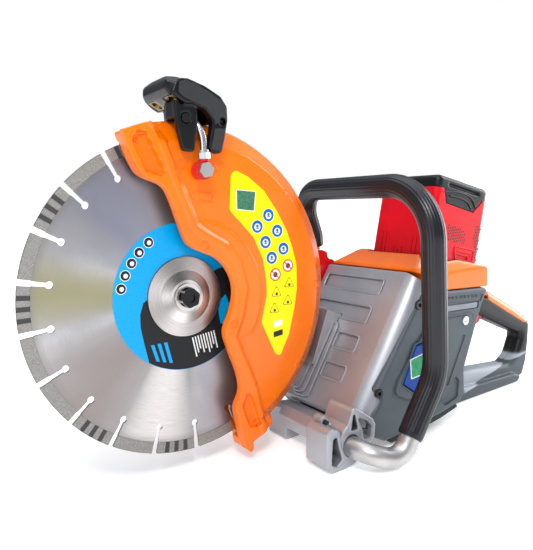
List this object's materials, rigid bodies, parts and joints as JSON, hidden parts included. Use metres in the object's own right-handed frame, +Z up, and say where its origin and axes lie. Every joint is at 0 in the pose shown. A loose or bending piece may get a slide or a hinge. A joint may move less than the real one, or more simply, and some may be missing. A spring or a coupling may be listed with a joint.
{
  "type": "rescue saw",
  "caption": "Handheld cut-off saw with a diamond blade, swinging guard, slide-out battery, wrap-around front handlebar and rear trigger handle, for cutting concrete, stone and metal.",
  "frame": {"origin": "centre of the overall box on the surface the saw stands on", "axes": "+X towards the rear handle, +Y towards the operator's right side, +Z up"},
  "size_m": [0.6278, 0.2242, 0.3706],
  "materials": {
    "blade_steel": "ground with circular grain",
    "diamond_segment": "sintered, matt",
    "label_film": "printed cyan and black",
    "machined_steel": "turned, satin",
    "black_steel": "black oxide",
    "screw_steel": "dark zinc",
    "belt_rubber": "matt",
    "bearing_steel": "polished",
    "magnet": "nickel plated",
    "lamination": "stacked sheets",
    "windings": "lacquered copper",
    "cast_aluminium": "sand-blasted casting",
    "silver_cover": "silver powder coat",
    "bare_tube": "bare, satin",
    "housing_grey": "fine spark texture",
    "hatch_grey": "fine spark texture",
    "badge_blue": "domed, clear",
    "cover_orange": "glossy",
    "guard_orange": "orange enamel on a light alloy casting",
    "handle_black": "satin",
    "grip_grey": "grained",
    "grip_rubber": "ribbed",
    "battery_red": "satin",
    "battery_black": "satin",
    "cell_wrap": "wrapped cells",
    "contact_brass": "bright",
    "circuit_board": "populated board in clear resin",
    "key_red": "glossy",
    "bracket_red": "red enamel on a light alloy casting",
    "fitting_red": "anodised",
    "pipe_chrome": "polished",
    "lamp_mirror": "vapour coated",
    "lamp_chip": "phosphor",
    "pad_rubber": "matt"
  },
  "bodies": {
    "saw_body": {"cutting_arm": "cast_aluminium", "belt_cover": "cast_aluminium", "casing_screws": "screw_steel", "drive_belt": "belt_rubber", "ball_bearings": "bearing_steel", "motor_stator": "windings", "motor_case": "cast_aluminium", "front_cover": "silver_cover", "left_housing": "housing_grey", "right_housing": "housing_grey", "side_hatch": "hatch_grey", "badge": "badge_blue", "top_cover": "cover_orange", "battery_dock": "handle_black", "dock_terminals": "contact_brass", "controller": "circuit_board", "front_foot": "silver_cover", "tube_clamp": "silver_cover", "frame_screws": "screw_steel", "handlebar_tube": "bare_tube", "handlebar_grip": "grip_rubber", "handlebar_bracket": "bracket_red", "handle_left": "handle_black", "handle_right": "handle_black", "handle_top_strip": "cover_orange", "trigger_pin": "machined_steel", "trigger_switch": "battery_black", "rubber_pads": "pad_rubber"},
    "blade": {"blade_core": "blade_steel", "blade_segments": "diamond_segment", "blade_label": "label_film", "outer_flange": "machined_steel", "inner_flange": "machined_steel", "blade_bolt": "black_steel", "spindle": "machined_steel", "spindle_pulley": "machined_steel"},
    "rotor": {"rotor_core": "lamination", "rotor_magnets": "magnet", "motor_shaft": "machined_steel", "drive_pulley": "machined_steel", "cooling_fan": "handle_black"},
    "guard": {"guard_near_shell": "guard_orange", "guard_far_shell": "guard_orange", "guard_screws": "screw_steel", "guard_ring": "machined_steel", "guard_handle": "handle_black", "grip_inserts": "grip_grey", "lamp_reflectors": "lamp_mirror", "lamp_leds": "lamp_chip", "water_pipe": "pipe_chrome", "water_banjo": "fitting_red", "banjo_bolt": "machined_steel"},
    "lamp_key": {"lamp_button": "battery_black"},
    "trigger_lever": {"trigger": "key_red"},
    "lock_key": {"lock_button": "key_red"},
    "battery": {"battery_case": "battery_red", "battery_cap": "battery_black", "battery_cells": "cell_wrap"},
    "latch_key": {"battery_latch": "battery_red"},
    "hatch_lock": {"panel_lock": "machined_steel"}
  },
  "joints": [
    {"name": "blade_spin", "type": "hinge", "parent": "saw_body", "child": "blade", "pos_m": [-0.16389, 0.02805, 0.171], "axis": [0, 1, 0], "continuous": true},
    {"name": "motor_spin", "type": "hinge", "parent": "saw_body", "child": "rotor", "pos_m": [0.06811, -0.00195, 0.071], "axis": [0, 1, 0], "continuous": true},
    {"name": "guard_swing", "type": "hinge", "parent": "saw_body", "child": "guard", "pos_m": [-0.16389, 0.02805, 0.171], "axis": [0, -1, 0], "range_deg": [-20, 60]},
    {"name": "lamp_press", "type": "slide", "parent": "guard", "child": "lamp_key", "axis": [0, 1, 0], "range_m": [0, 0.0009], "stiffness_N_per_m": 600, "springref_m": -0.0005},
    {"name": "trigger_pull", "type": "hinge", "parent": "saw_body", "child": "trigger_lever", "pos_m": [0.19212, -0.00795, 0.113], "axis": [0, -1, 0], "range_deg": [0, 10], "stiffness_Nm_per_rad": 1.5, "springref_deg": -5.73},
    {"name": "lock_press", "type": "slide", "parent": "saw_body", "child": "lock_key", "axis": [0, 0, -1], "range_m": [0, 0.003], "stiffness_N_per_m": 700, "springref_m": -0.001},
    {"name": "battery_slide", "type": "slide", "parent": "saw_body", "child": "battery", "axis": [0.2588, 0, 0.9659], "range_m": [0, 0.12]},
    {"name": "latch_press", "type": "slide", "parent": "battery", "child": "latch_key", "axis": [0, 1, 0], "range_m": [0, 0.002], "stiffness_N_per_m": 800, "springref_m": -0.001},
    {"name": "hatch_lock_turn", "type": "hinge", "parent": "saw_body", "child": "hatch_lock", "pos_m": [0.12412, -0.06395, 0.1125], "axis": [0, -1, 0], "range_deg": [0, 90]}
  ],
  "couplings": [
    {"joint": "motor_spin", "follows": "blade_spin", "ratio": 2}
  ]
}
